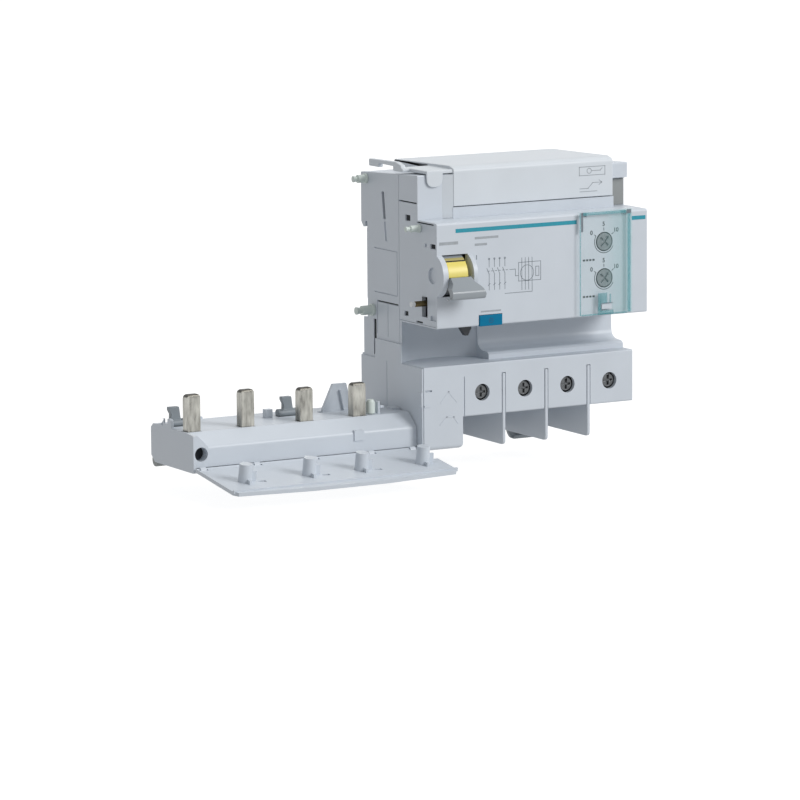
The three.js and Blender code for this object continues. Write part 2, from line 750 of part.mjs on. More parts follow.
// ---------------------------------------------------------------- rail latches
function railLatch() {
  const { half, front, rear, top, tail } = LATCH;
  const face = [
    [-half, top - 3],
    [-half + 2, top],
    [half - 2, top],
    [half, top - 3],
    [half, tail + 4, 2],
    [half - 2, tail, 2],
    [2 - half, tail, 2],
    [-half, tail + 4, 2],
  ];
  const nose = plate("x", [[front - 1, top + 1], [rear, top + 1], [rear, top - 3]], [-10, 10]);
  const window = block([-4.6, 4.6], [0, 6], [-64.5, -46]);
  const pull = block([-4, 4], [0, 6], [-82, -79.4]);
  const lip = block([-6, 6], [-0.8, front + 0.5], [tail + 0.6, tail + 2]);
  return join(cut(plate("y", face, [front, rear]), nose, window, pull), lip);
}

// A flat zigzag spring between the latch and the fixed post.
function latchSpring() {
  const low = -58;
  const rise = 2.2;
  const half = 3.6;
  const legs = [0, 1, 2, 3, 4].map((i) => {
    const side = i % 2 ? -half : half;
    const z = low + i * rise;
    const leg = [[-side, z - 0.45], [-side, z + 0.45], [side, z + rise + 0.45], [side, z + rise - 0.45]];
    return plate("y", i % 2 ? leg.reverse() : leg, [LATCH.front + GAP, LATCH.rear - GAP]);
  });
  return join(legs);
}

// ---------------------------------------------------------------- connection block
const linkBodyX = [LINK.left, LINK.right];

// Bottom tray: holds the feet of the blades and the hinge of the terminal cover.
function linkBase() {
  const { left, right, front, rear, bottom, split } = LINK;
  const inner = left + 1.6;
  const section = [
    [front, split - GAP],
    [front, bottom, 0.8],
    [-8, bottom],
    [rear, bottom + 2],
    [rear, split - GAP],
  ];
  const tray = cut(
    plate("x", section, [inner, right]),
    block([inner + WALL, right - WALL], [front + WALL, rear - WALL], [bottom + 1.6, split + 1]),
  );
  const sleeves = BLADES.map((x) => {
    const span = [Math.max(x - 4.6, inner), x + 4.6];
    return block(span, [BLADE.front - 1.6, BLADE.rear + 0.1], [bottom + 1, BLADE.foot - GAP]);
  });
  return join(tray, FLAP_CLIPS.map(flapClip), sleeves);
}

// Places along X where the terminal cover's hinge rod snaps into the base.
const FLAP_CLIPS = [-104.9, -79.6, -52.2, -24.8, -4.6];

function flapClip(x) {
  const lug = plate(
    "x",
    [
      [LINK.front + 1, FLAP.z + 0.6],
      [LINK.front + 1, FLAP.z - 1.3],
      [FLAP.y - 1.6, FLAP.z - 1.7, 1],
      [FLAP.y - 1.9, FLAP.z + 0.2, 0.6],
      [FLAP.y - 0.9, FLAP.z + 1.6, 0.5],
      [FLAP.y + 1.2, FLAP.z + 0.7],
    ],
    [x - 1.3, x + 1.3],
  );
  const seat = rod("x", [FLAP.y, FLAP.z], 1.1, [x - 2, x + 2], 20);
  const throat = block([x - 2, x + 2], [FLAP.y - 0.75, FLAP.y + 0.75], [FLAP.z, -72]);
  return cut(lug, seat, throat);
}

const CLIP = { x: [-103.4, -49.8], reach: [2.6, 4.8], y: -18, z: -59.4 };

// End wall of the connection block, with a lug for the bar of the first catch.
function linkEnd() {
  const { left, front, rear, top, bottom, split } = LINK;
  const wall = [
    [front, -61.2, 0.8],
    [-38, top],
    [-23.8, top],
    [-23.2, -56.8, 1],
    [-16.2, -56.8, 1.4],
    [-12.6, -60.2],
    [rear - 2, top],
    [rear, -62.4],
    [rear, bottom + 2.8],
    [-8, bottom],
    [front, bottom, 0.8],
  ];
  const corner = [
    [left, split],
    [-101, split],
    [-101, -66],
    [left + 2, -61.2],
    [left, -61.2],
  ];
  return join(plate("x", wall, [left, left + 1.3]), plate("y", corner, [front, -38.4]));
}

// The trapezoidal guide that stands up between the blades, with its slanting rib.
function guideTab() {
  const foot = LINK.top - 0.5;
  const face = [[-33, foot], [-17.6, foot], [-20.6, -49], [-27.2, -49]];
  const rib = [[-22.4, foot], [-19.6, foot], [-22.6, -51.6, 0.6], [-24.4, -51.6, 0.6]];
  return [plate("y", face, [-17.6, -16.2]), plate("y", rib, [-19, -17.5])];
}

function linkLid() {
  const { left, right, front, rear, top, split } = LINK;
  const skin = [
    [front, split],
    [front, -66.2, 1],
    [-37.4, top],
    [rear - 2, top],
    [rear, top - 1.8],
    [rear, split],
  ];
  const hollow = [
    [front + WALL, split - 1],
    [front + WALL, -67],
    [-36.8, top - 1.8],
    [rear - 2.4, top - 1.8],
    [rear - WALL, split - 1],
  ];
  const shell = cut(
    plate("x", skin, [left + 0.6, right]),
    plate("x", hollow, [left - 1, right - WALL]),
  );
  const raised = [
    block([-61.2, -58], [-20.4, -17.4], [top - 1, -57]),
    block([-13.4, -9.6], [-20, -17.4], [top - 1, -57.6]),
    block([-31.6, -26.9], [front - 0.5, front + 1], [-69.7, -65.2]),
    block([-4.8, -1.4], [-30, -25], [top - 1, top + 1]),
    block([-98, -91], [rear - 1.2, rear], [top - 1, top + 0.7]),
    block([-89.6, -84], [rear - 1.2, rear], [top - 1, top + 0.7]),
  ];
  const bladeSlots = BLADES.map((x) =>
    block([x - 3.5, x + 3.5], [BLADE.front - 0.5, BLADE.rear + 0.5], [-70, -58]),
  );
  const clipSlots = CLIP.x.map((x) =>
    block([Math.max(x - 5.2, left + 1.3), x + 5.2], [CLIP.y - 2.3, CLIP.y + 2.3], [-70, -58]),
  );
  const wallNotch = block([left - 1, left + 2], [CLIP.y - 2.3, CLIP.y + 2.3], [-59.2, -56]);
  const [pegX, pegY] = LINK_PEG.at;
  return cut(
    join(shell, linkEnd(), guideTab(), raised),
    bladeSlots,
    clipSlots,
    wallNotch,
    rod("y", [-104.3, -69.1], 3, [front - 1, front + 4.8], 28),
    rod("x", [-14.6, -58.9], 1.7, [left - 1, left + 0.8], 16),
    rod("z", [pegX, pegY], 1.3, [-66, -58], 16),
    block([-34.6, -32.2], [-19.4, -16], [top - 1, top + 1]),
    block([-18.4, -16], [-19.4, -16], [top - 1, top + 1]),
    block([right - 3, right + 1], [-31, -13.4], [-67.6, -62.6]),
  );
}

const LINK_PEG = { at: [-17.6, -33.4], radius: 2, top: -54.3 };

// Upright peg beside the last blade, pressed into the lid.
function linkPeg() {
  const { radius, top } = LINK_PEG;
  return join(
    rod("z", [0, 0], 1, [-64, -60], 16),
    rod("z", [0, 0], radius, [LINK.top + GAP, top - 1.4], 20),
    rod("z", [0, 0], radius, [top - 1.4, top], 20, radius * 0.6),
  );
}

// Grey catch that hooks on the foot of the breaker, hung on its own round bar.
function breakerClip(reach) {
  const front = [
    [-3.1, -52.3],
    [1.6, -52.3, 0.4],
    [2.6, CLIP.z],
    [-2.3, CLIP.z],
    [-2.2, -55.4],
    [-3.1, -53.6],
  ];
  const axle = rod("x", [CLIP.y, CLIP.z], 1.9, [-reach, 4.8], 18);
  return join(plate("y", front, [CLIP.y - 1.2, CLIP.y + 1.2]), axle);
}

// Terminal cover, drawn lying flat in front of its hinge; its group tilts it.
function terminalCover() {
  const half = FLAP.thick / 2;
  const inner = LINK.left + 0.4;
  const outerRight = LINK.right - 0.4;
  const narrowRight = outerRight - 2.4;
  const leaf = [
    [inner, 0.8],
    [inner, -FLAP.length + 2.4],
    [inner + 1.6, -FLAP.length],
    [(2 * inner + outerRight) / 3, -FLAP.length - 2.6],
    [(inner + 2 * outerRight) / 3, -FLAP.length - 2.6],
    [outerRight - 1.6, -FLAP.length],
    [outerRight, -FLAP.length + 2.4],
    [outerRight, -17],
    [narrowRight, -17],
    [narrowRight, 0.8],
  ];
  const sheet = plate("z", leaf, [-half, half]);
  const relief = FLAP_CLIPS.map((x) => block([x - 1.9, x + 1.9], [-2.8, 2], [-3, 3]));
  const post = (x) =>
    join(
      rod("z", [x, -21.5], 3, [0, 8.4], 20, 2.7),
      block([x - 0.5, x + 0.5], [-26.6, -20], [0, 2.4]),
      block([x + 2, x + 5], [-22, -21], [0, 5]),
    );
  const slot = (x) => block([x + 5.4, x + 8.8], [-24.4, -22.4], [-2, 2]);
  const lip = block([inner, outerRight], [1.4 - FLAP.length, 2.4 - FLAP.length], [0, 1.5]);
  return join(
    cut(sheet, relief, PEGS.slice(0, 3).map(slot)),
    lip,
    PEGS.map(post),
    rod("x", [0, 0], 1, [inner, narrowRight], 20),
  );
}

// ---------------------------------------------------------------- assemblies
function placed(mesh, x, y = 0, z = 0) {
  mesh.position.set(x, y, z);
  return mesh;
}

function housingGroup() {
  const barriers = [0, 1, 2].map((i) =>
    placed(piece(`phase_barrier_${i + 1}`, phaseBarrier(), LOOK.shell), poleX(i) + SCREW.pitch / 2),
  );
  const pegPlaces = [
    [0.2, 36.4, 1.75, 6.6],
    [-5, -20.2, 2.1, 8.6],
    [-46, 19.2, 1.45, 7],
  ];
  const pegs = pegPlaces.map(([y, z, radius, length], i) =>
    placed(piece(`locating_peg_${i + 1}`, locatingPeg(radius, length), LOOK.peg), 0, y, z),
  );
  return assembly(
    piece("rear_housing", rearHousing(), LOOK.shell),
    piece("front_housing", frontHousing(), LOOK.shell),
    piece("side_cover", sideCover(), LOOK.shell),
    piece("upper_cover", upperCover(), LOOK.shell),
    barriers,
    pegs,
  );
}

function toggleGroup() {
  const axle = rod("x", [TOGGLE.y, TOGGLE.z], 1.5, [1.7, TOGGLE.right + 1.1], 20);
  const pin = rod("x", [LEVER.pinY, LEVER.z], 1.25, [-4.6, 5], 14);
  const tip = rod("x", [LEVER.pinY, LEVER.z], 1.2, [-6.8, -4.7], 14, 0.85);
  const pivot = rod("x", [LEVER.y, LEVER.z], 1.05, [2.1, 7.6], 16);
  const plunger = join(
    rod("z", [27, -38], 1.3, [-12, -3], 14),
    rod("z", [27, -38], 2.2, [-12.1, -11], 14),
  );
  return assembly(
    piece("toggle_drum", toggleDrum(), LOOK.yellow),
    piece("toggle_handle", toggleHandle(), LOOK.handle),
    piece("toggle_axle", axle, LOOK.steel),
    piece("toggle_spring", toggleSpring(), LOOK.steel),
    piece("trip_lever", tripLever(), LOOK.dark),
    piece("trip_pin", pin, LOOK.brass),
    piece("trip_pin_tip", tip, LOOK.white),
    piece("lever_pivot", pivot, LOOK.steel),
    piece("trip_relay", tripRelay(), LOOK.dark),
    piece("relay_plunger", plunger, LOOK.white),
  );
}

function testGroup() {
  const strip = block([22, 38], [-46.6, -46.1], [-20.3, -16]);
  const body = rod("x", [-46.6, -14], 1.5, [42, 50], 16);
  const leads = rod("x", [-46.6, -14], 0.35, [38.4, 54], 8);
  return assembly(
    piece("test_button", testButton(), LOOK.blue),
    piece("test_contact", strip, LOOK.copper),
    piece("test_resistor", join(body, leads), LOOK.brass),
  );
}

function settingsGroup() {
  const places = [["delay", DIAL.upper], ["current", DIAL.lower]];
  const dials = places.map(([name, z]) =>
    placed(piece(`dial_${name}`, settingDial(), LOOK.grey), DIAL.x, 0, z),
  );
  const trimmers = places.map(([name, z]) =>
    placed(piece(`trimmer_${name}`, trimmer(), LOOK.dark), DIAL.x, 0, z),
  );
  return assembly(
    dials,
    trimmers,
    piece("setting_window", settingWindow(), LOOK.window),
    piece("setting_board", settingBoard(), LOOK.board),
  );
}

function terminalGroup() {
  const perPole = POLES.map((i) => [
    placed(piece(`terminal_screw_${i + 1}`, terminalScrew(), LOOK.steel), poleX(i), 0, SCREW.z),
    placed(piece(`terminal_cage_${i + 1}`, terminalCage(), LOOK.steel), poleX(i)),
  ]);
  const conductors = POLES.map((i) => {
    const bar = terminalBar().translate([poleX(i), 0, 0]);
    return piece(`conductor_${i + 1}`, join(conductor(i), bar), LOOK.wire);
  });
  return assembly(perPole.flat(), conductors);
}

function electronicsGroup() {
  const capacitor = rod("y", [30, 24], 5, [-34, -20.3], 24);
  return assembly(
    piece("transformer_case", transformerCase(), LOOK.dark),
    piece("transformer_core", transformerCore(), LOOK.steel),
    piece("main_board", mainBoard(), LOOK.board),
    piece("capacitor", capacitor, LOOK.blue),
  );
}

function latchGroup() {
  return assembly(
    LATCH_X.flatMap((x, i) => [
      placed(piece(`rail_latch_${i + 1}`, railLatch(), LOOK.grey), x),
      placed(piece(`latch_spring_${i + 1}`, latchSpring(), LOOK.steel), x),
    ]),
  );
}

function linkGroup() {
  const blades = BLADES.map((x, i) =>
    placed(piece(`blade_${i + 1}`, blade(BLADE.top[i]), LOOK.tin), x),
  );
  const clips = CLIP.x.map((x, i) =>
    placed(piece(`breaker_clip_${i + 1}`, breakerClip(CLIP.reach[i]), LOOK.grey), x),
  );
  const [pegX, pegY] = LINK_PEG.at;
  const peg = placed(piece("locating_peg_4", linkPeg(), LOOK.peg), pegX, pegY);
  const cover = piece("terminal_cover", terminalCover(), LOOK.shell);
  cover.position.set(0, FLAP.y, FLAP.z);
  cover.rotation.x = THREE.MathUtils.degToRad(FLAP.open);
  return assembly(
    piece("link_base", linkBase(), LOOK.shell),
    piece("link_lid", linkLid(), LOOK.shell),
    blades,
    clips,
    peg,
    cover,
  );
}

const device = assembly(
  housingGroup(),
  toggleGroup(),
  testGroup(),
  settingsGroup(),
  terminalGroup(),
  electronicsGroup(),
  latchGroup(),
  linkGroup(),
);

// The part's own origin is the middle of the main block, on its rail face.
device.position.x = -WIDTH / 2;

export default assembly(device);
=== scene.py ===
"""Looks for the residual current block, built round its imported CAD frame.

Millimetres in the calls, metres in Blender. As in the CAD, x = 0 is drawn at the left side
of the main block and at() moves it to the row frame, whose origin is the block's middle.
"""

import json
import math

import bmesh
import bpy
from mathutils import Matrix, Vector


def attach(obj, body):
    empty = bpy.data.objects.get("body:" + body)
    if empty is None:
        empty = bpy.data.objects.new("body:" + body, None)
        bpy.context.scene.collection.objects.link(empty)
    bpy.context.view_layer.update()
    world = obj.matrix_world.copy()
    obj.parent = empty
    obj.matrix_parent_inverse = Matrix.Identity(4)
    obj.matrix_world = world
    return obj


HALF_WIDTH = 52.5  # the row frame's origin, from the left side of the main block
NOSE = -60.4  # front faces, as y: the nose, the test button, the upper cover, the left section
BUTTON = -60.9
COVER = -46
LEFT_SECTION = -48.7
PRINT = 0.04  # thickness of a printed mark
SUNK = 0.01  # how far a mark's back lies below the face that carries it
DRUM = {"y": -56.6, "left": 3.1, "right": 12.4, "radius": 8.75, "skin": 0.1}
DIALS = [(83.2, 9.6), (83.2, -6.2)]  # centres (x, z) of the setting dials
TICKS = {"0": 148, "5": 92, "10": 38}  # direction of each figure round a dial, in degrees
WINDOW_SKIN = (-62.46, -62.38)  # y range of the lines on the window's front
FLOOR = -0.0887  # height of the floor in metres, just below the latches when they are pulled

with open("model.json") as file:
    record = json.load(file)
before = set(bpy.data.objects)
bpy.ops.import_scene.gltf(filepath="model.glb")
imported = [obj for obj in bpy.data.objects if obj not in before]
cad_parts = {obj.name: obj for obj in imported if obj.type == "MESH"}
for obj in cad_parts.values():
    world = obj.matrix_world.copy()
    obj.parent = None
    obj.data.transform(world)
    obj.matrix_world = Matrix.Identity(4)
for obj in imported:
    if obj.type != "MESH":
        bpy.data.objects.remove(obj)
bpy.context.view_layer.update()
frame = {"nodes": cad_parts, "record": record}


def at(x, y, z):
    """A point of the drawing, in the row frame in metres."""
    return Vector((x - HALF_WIDTH, y, z)) / 1000


# ------------------------------------------------------------------ materials
class Look:
    """A material being made: its nodes, its links and its main shader."""

    def __init__(self, name):
        self.material = bpy.data.materials.new(name)
        self.material.use_nodes = True
        self.nodes = self.material.node_tree.nodes
        self.links = self.material.node_tree.links
        self.shader = self.nodes["Principled BSDF"]

    def set(self, socket, value):
        """Gives one socket of the main shader a fixed value."""
        self.shader.inputs[socket].default_value = value

    def feed(self, socket, source):
        """Links one socket of the main shader to a source."""
        self.links.new(source, self.shader.inputs[socket])

    def position(self):
        """The shaded point on the object's own axes."""
        return self.nodes.new("ShaderNodeTexCoord").outputs["Object"]

    def axis(self, source, letter):
        """One component of a vector."""
        split = self.nodes.new("ShaderNodeSeparateXYZ")
        self.links.new(source, split.inputs["Vector"])
        return split.outputs[letter]

    def noise(self, scale, detail=2.0, stretch=(1, 1, 1)):
        """A noise texture, stretched along an axis where that axis has a small factor."""
        mapping = self.nodes.new("ShaderNodeMapping")
        mapping.inputs["Scale"].default_value = stretch
        self.links.new(self.position(), mapping.inputs["Vector"])
        noise = self.nodes.new("ShaderNodeTexNoise")
        noise.inputs["Scale"].default_value = scale
        noise.inputs["Detail"].default_value = detail
        self.links.new(mapping.outputs["Vector"], noise.inputs["Vector"])
        return noise.outputs["Fac"]

    def remap(self, source, start, end, smooth=False):
        """Takes the range start of a value to the range end."""
        ramp = self.nodes.new("ShaderNodeMapRange")
        ramp.interpolation_type = "SMOOTHSTEP" if smooth else "LINEAR"
        names = ("From Min", "From Max", "To Min", "To Max")
        for name, value in zip(names, (*start, *end)):
            ramp.inputs[name].default_value = value
        self.links.new(source, ramp.inputs["Value"])
        return ramp.outputs["Result"]

    def spread(self, source, low, high):
        """Takes a texture's middle range to low .. high."""
        return self.remap(source, (0.3, 0.7), (low, high))

    def mix(self, factor, first, second):
        """Blends from first to second, each a colour or a source."""
        mix = self.nodes.new("ShaderNodeMix")
        mix.data_type = "RGBA"
        self.links.new(factor, mix.inputs[0])
        for socket, value in ((mix.inputs[6], first), (mix.inputs[7], second)):
            if isinstance(value, tuple):
                socket.default_value = (*value, 1)
            else:
                self.links.new(value, socket)
        return mix.outputs[2]

    def tint(self, source, color, change):
        """The colour, darker and lighter by the share change where the texture says."""
        darker = tuple(c * (1 - change) for c in color)
        lighter = tuple(min(1, c * (1 + change)) for c in color)
        return self.mix(self.spread(source, 0, 1), darker, lighter)

    def bump(self, source, height, strength):
        """Raises the surface by a texture, to a height in millimetres."""
        bump = self.nodes.new("ShaderNodeBump")
        bump.inputs["Strength"].default_value = strength
        bump.inputs["Distance"].default_value = height / 1000
        self.links.new(source, bump.inputs["Height"])
        self.feed("Normal", bump.outputs["Normal"])


def plastic(name, color, roughness=0.45, specular=0.5):
    """Moulded plastic with a fine spark-eroded grain."""
    look = Look(name)
    look.set("Specular IOR Level", specular)
    broad = look.noise(60)
    look.feed("Base Color", look.tint(broad, color, 0.02))
    look.feed("Roughness", look.spread(broad, roughness - 0.04, roughness + 0.04))
    look.bump(look.noise(2600, 1.0), height=0.006, strength=0.12)
    return look.material


def metal(name, color, roughness, change=0.12, stretch=(1, 1, 1), top_shade_color=None):
    """Plated or rolled metal with streaks. An optional colour of painted shade darkens the faces
    that look up.
    """
    look = Look(name)
    look.set("Metallic", 1)
    streaks = look.noise(500, 3.0, stretch)
    shade = look.tint(streaks, color, change)
    # painted shade: faces that look up are darkened towards this colour
    if top_shade_color:
        normal = look.nodes.new("ShaderNodeNewGeometry").outputs["Normal"]
        upward = look.remap(look.axis(normal, "Z"), (0.02, 0.3), (0, 1))
        shade = look.mix(upward, shade, top_shade_color)
    look.feed("Base Color", shade)
    look.feed("Roughness", look.spread(streaks, roughness - 0.08, roughness + 0.1))
    return look.material


def clear(name, color, alpha, span=None):
    """Thin tinted clear plastic. A span (from x, to x, alpha) makes it denser to one end."""
    look = Look(name)
    haze = look.noise(40)
    look.feed("Base Color", look.tint(haze, color, 0.03))
    look.feed("Roughness", look.spread(haze, 0.03, 0.09))
    look.set("Alpha", alpha)
    look.set("IOR", 1.49)
    if span:
        start, end, dense = span
        across = look.axis(look.position(), "X")
        reach = (at(start, 0, 0).x, at(end, 0, 0).x)
        look.feed("Alpha", look.remap(across, reach, (alpha, dense), smooth=True))
    return look.material


def plain(name, color, roughness=0.6):
    """Printing ink, or painted shade for a dark hollow, a little uneven."""
    look = Look(name)
    speckle = look.noise(900)
    look.feed("Base Color", look.tint(speckle, color, 0.08))
    look.feed("Roughness", look.spread(speckle, roughness - 0.05, roughness + 0.05))
    return look.material


LOOK = {
    "shell": plastic("moulded_shell", (0.60, 0.645, 0.70), 0.42),
    "cover": plastic("moulded_cover", (0.66, 0.70, 0.74)),
    "peg": plastic("moulded_peg", (0.66, 0.73, 0.69), 0.4),
    "yellow": plastic("yellow_drum", (0.82, 0.69, 0.16), 0.36),
    # a darker copy of the drum's yellow, as painted shade
    "dim_yellow": plastic("shaded_drum_yellow", (0.42, 0.36, 0.12)),
    "handle": plastic("grey_handle", (0.30, 0.33, 0.355), 0.3),
    "grey": plastic("grey_plastic", (0.23, 0.26, 0.285)),
    "insert": plastic("grey_insert", (0.27, 0.285, 0.285), 0.5),
    "dial": plastic("grey_dial", (0.23, 0.255, 0.27), 0.3),
    "dark": plastic("dark_plastic", (0.03, 0.035, 0.042)),
    "blue": plastic("blue_button", (0.0, 0.175, 0.33), 0.4, specular=0.1),
    "white": plastic("white_plastic", (0.82, 0.84, 0.84), 0.4),
    "insulation": plastic("wire_insulation", (0.03, 0.033, 0.038), 0.5),
    "board": plastic("circuit_board", (0.015, 0.13, 0.05), 0.35),
    "steel": metal("plated_steel", (0.25, 0.26, 0.27), 0.28),
    "screw": metal("dark_screw", (0.12, 0.125, 0.13), 0.36),
    "tin": metal(
        "tinned_blade",
        (0.36, 0.355, 0.325),
        0.32,
        change=0.45,
        stretch=(1, 1, 0.25),
        # painted shade on the blades' upward faces
        top_shade_color=(0.06, 0.057, 0.05),
    ),
    "brass": metal("dull_brass", (0.15, 0.115, 0.055), 0.42),
    "copper": metal("copper_strip", (0.55, 0.24, 0.11), 0.35),
    "window": clear("tinted_window", (0.42, 0.75, 0.75), 0.04, span=(79, 96, 0.165)),
    "window_edge": clear("tinted_edge", (0.10, 0.40, 0.45), 0.42),
    "teal": plain("teal_print", (0.006, 0.28, 0.375)),
    "black_ink": plain("dark_print", (0.035, 0.04, 0.045)),
    # grey print, also used as painted shade on the window's corners
    "ink": plain("grey_print_and_shade", (0.16, 0.19, 0.22)),
    "pale_ink": plain("pale_print", (0.36, 0.39, 0.42)),
    "dark_blue_ink": plain("dark_blue_print", (0.0, 0.07, 0.16)),
    # painted shade for the bottoms of hollows, slots and gaps
    "shadow": plain("painted_recess_shade", (0.02, 0.022, 0.026), 0.9),
}


# ------------------------------------------------------------------ CAD nodes
NODE_LOOK = {  # looks that differ from the record's slot, by the start of the node's name
    "upper_cover": "cover",
    "dial_": "dial",
    "terminal_screw": "screw",
}
EDGE = {  # radius on the edges of each kind of node, by the start of its name
    "front_housing": 0.3,
    "rear_housing": 0.3,
    "side_cover": 0.3,
    "upper_cover": 0.45,
    "phase_barrier": 0.25,
    "link_base": 0.3,
    "link_lid": 0.35,
    "terminal_cover": 0.25,
    "toggle_handle": 0.4,
    "toggle_drum": 0.3,
    "test_button": 0.3,
    "setting_window": 0.2,
    "blade": 0.5,
    "breaker_clip": 0.25,
    "locating_peg": 0.2,
    "dial": 0.15,
    "terminal_screw": 0.2,
    "rail_latch": 0.3,
    "trip_": 0.2,
}


def by_start(table, name, default):
    """The first value of a table whose key the name starts with."""
    return next((value for start, value in table.items() if name.startswith(start)), default)


def smoothing_group():
    """Joins the loose corners of a CAD mesh and shades it smooth."""
    group = bpy.data.node_groups.new("join_and_smooth", "GeometryNodeTree")
    for way in ("INPUT", "OUTPUT"):
        group.interface.new_socket("Geometry", in_out=way, socket_type="NodeSocketGeometry")
    start = group.nodes.new("NodeGroupInput")
    merge = group.nodes.new("GeometryNodeMergeByDistance")
    merge.inputs["Distance"].default_value = 2e-6
    smooth = group.nodes.new("GeometryNodeSetShadeSmooth")
    end = group.nodes.new("NodeGroupOutput")
    group.links.new(start.outputs[0], merge.inputs["Geometry"])
    group.links.new(merge.outputs["Geometry"], smooth.inputs["Geometry"])
    group.links.new(smooth.outputs["Geometry"], end.inputs[0])
    return group


JOIN_AND_SMOOTH = smoothing_group()


def soften(obj, radius, segments=2):
    """Rounds the sharp edges of a mesh, to a radius in millimetres."""
    join = obj.modifiers.new("join", "NODES")
    join.node_group = JOIN_AND_SMOOTH
    flat = obj.modifiers.new("flat", "DECIMATE")
    flat.decimate_type = "DISSOLVE"
    flat.angle_limit = math.radians(0.6)
    if radius:
        bevel = obj.modifiers.new("edges", "BEVEL")
        bevel.width = radius / 1000
        bevel.segments = segments
        bevel.limit_method = "ANGLE"
        bevel.angle_limit = math.radians(33)
        bevel.miter_outer = "MITER_SHARP"
    normals = obj.modifiers.new("normals", "WEIGHTED_NORMAL")
    normals.mode = "FACE_AREA"
    normals.weight = 80


def dress_cad():
    """Gives each CAD node its material and rounds its edges."""
    slots = {part["node"]: part["material_slot"] for part in frame["record"]["subparts"]}
    for name, obj in frame["nodes"].items():
        look = LOOK[by_start(NODE_LOOK, name, slots[name])]
        for slot in obj.material_slots:
            slot.material = look
        # a second segment would leave gaps at the front housing's narrowest notches
        segments = 1 if name == "front_housing" else 2
        soften(obj, by_start(EDGE, name, 0), segments)


# ------------------------------------------------------------------ drawing new pieces
def place(obj, body):
    """Puts a new piece in the scene, on the body that it moves with."""
    bpy.context.scene.collection.objects.link(obj)
    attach(obj, body)


def make_piece(name, draw, look, body="base", edge=0):
    """A new piece whose mesh is drawn by draw(bm), with rounded edges if edge is set."""
    bm = bmesh.new()
    draw(bm)
    bmesh.ops.recalc_face_normals(bm, faces=bm.faces)
    mesh = bpy.data.meshes.new(name)
    bm.to_mesh(mesh)
    bm.free()
    mesh.materials.append(LOOK[look])
    obj = bpy.data.objects.new(name, mesh)
    place(obj, body)
    if edge:
        soften(obj, edge)


def join_rows(bm, rows, closed=False):
    """Faces between neighbouring rows of points, with an end face on each side unless closed."""
    rows = [[bm.verts.new(point) for point in row] for row in rows]
    following = rows[1:] + rows[:1] if closed else rows[1:]
    for one, two in zip(rows, following):
        for k in range(len(one)):
            after = (k + 1) % len(one)
            bm.faces.new((one[k], one[after], two[after], two[k]))
    if not closed:
        bm.faces.new(rows[0])
        bm.faces.new(rows[-1])


def add_box(bm, x, y, z):
    """A box given by its range on each axis."""
    low, high = at(x[0], y[0], z[0]), at(x[1], y[1], z[1])
    matrix = Matrix.Translation((low + high) / 2) @ Matrix.Diagonal((*(high - low), 1))
    bmesh.ops.create_cube(bm, size=1, matrix=matrix)


def add_disc(bm, centre, turn_axis, radius, depth, sides):
    """A short round bar, turned a quarter round an axis from lying along z."""
    matrix = Matrix.Translation(at(*centre)) @ Matrix.Rotation(math.pi / 2, 4, turn_axis)
    bmesh.ops.create_cone(
        bm,
        cap_ends=True,
        segments=sides,
        radius1=radius / 1000,
        radius2=radius / 1000,
        depth=depth / 1000,
        matrix=matrix,
    )


def add_bar(bm, start, end, width, plane_y, thick=PRINT):
    """A flat bar between two (x, z) points, standing out of the plane y = plane_y to the front."""
    a, b = Vector(start), Vector(end)
    along = (b - a).normalized() * width / 2
    a, b = a - along, b + along
    side = Vector((-along.y, along.x))
    corners = [a + side, b + side, b - side, a - side]
    depths = (plane_y - thick, plane_y + SUNK)
    join_rows(bm, [[at(c.x, y, c.y) for c in corners] for y in depths])


def add_path(bm, points, width, plane_y, thick=PRINT):
    """Flat bars along a line of (x, z) points."""
    for start, end in zip(points, points[1:]):
        add_bar(bm, start, end, width, plane_y, thick)


def add_ring(bm, centre, radius, width, plane_y, sides, sweep=(0, 360)):
    """A flat ring, or an arc of it, round an (x, z) centre in the plane y = plane_y."""
    first, last = sweep
    closed = last - first >= 360
    inner, outer = radius - width / 2, radius + width / 2
    front, back = plane_y - PRINT, plane_y + SUNK
    section = ((outer, front), (inner, front), (inner, back), (outer, back))
    rows = []
    for i in range(sides if closed else sides + 1):
        angle = math.radians(first + (last - first) * i / sides)
        across, up = math.cos(angle), math.sin(angle)
        rows.append([at(centre[0] + r * across, y, centre[1] + r * up) for r, y in section])
    join_rows(bm, rows, closed)


def outline(left, right, bottom, top):
    """The corners of a rectangle and its first corner again."""
    return [(left, top), (right, top), (right, bottom), (left, bottom), (left, top)]


# ------------------------------------------------------------------ print on the front, and painted shade round the dials
def stripe(bm):
    """The coloured line along the nose, on both sides of the window."""
    for x in ((9.2, 69.3), (97.1, 104.2)):
        add_box(bm, x, (NOSE - PRINT, NOSE + SUNK), (18.0, 19.7))


def schematic(bm):
    """A plain wiring diagram: four contacts, the link between them, and a sum transformer."""
    width = 0.22

    def line(*points):
        add_path(bm, points, width, NOSE)

    for i in range(4):
        x = 25.6 + 2.6 * i
        line((x, 5.9), (x, 2.4))
        line((x, -0.6), (x - 1.1, 1.9))
        line((x, -0.6), (x, -7.4))
        line((x - 0.5, -5.4), (x + 0.5, -4.6))
        add_ring(bm, (x, 5.9), 0.35, width, NOSE, 12)
    for i in range(6):
        x = 24.9 + 1.8 * i
        line((x, 0.7), (x + 0.9, 0.7))
    line((35.8, 0.7), (38.6, 0.7), (38.6, -2.2), (40.2, -2.2))
    line(*outline(40.2, 51.2, -4.6, 3.4))
    for i in range(4):
        x = 41.8 + 1.7 * i
        line((x, 5.3), (x, -8.4))
    add_ring(bm, (44.4, -1.2), 3.3, width, NOSE, 28)
    line(*outline(48.7, 50.3, -2.8, 1.2))
    line((33.4, -9.4), (46.9, -9.4), (46.9, -8.4))


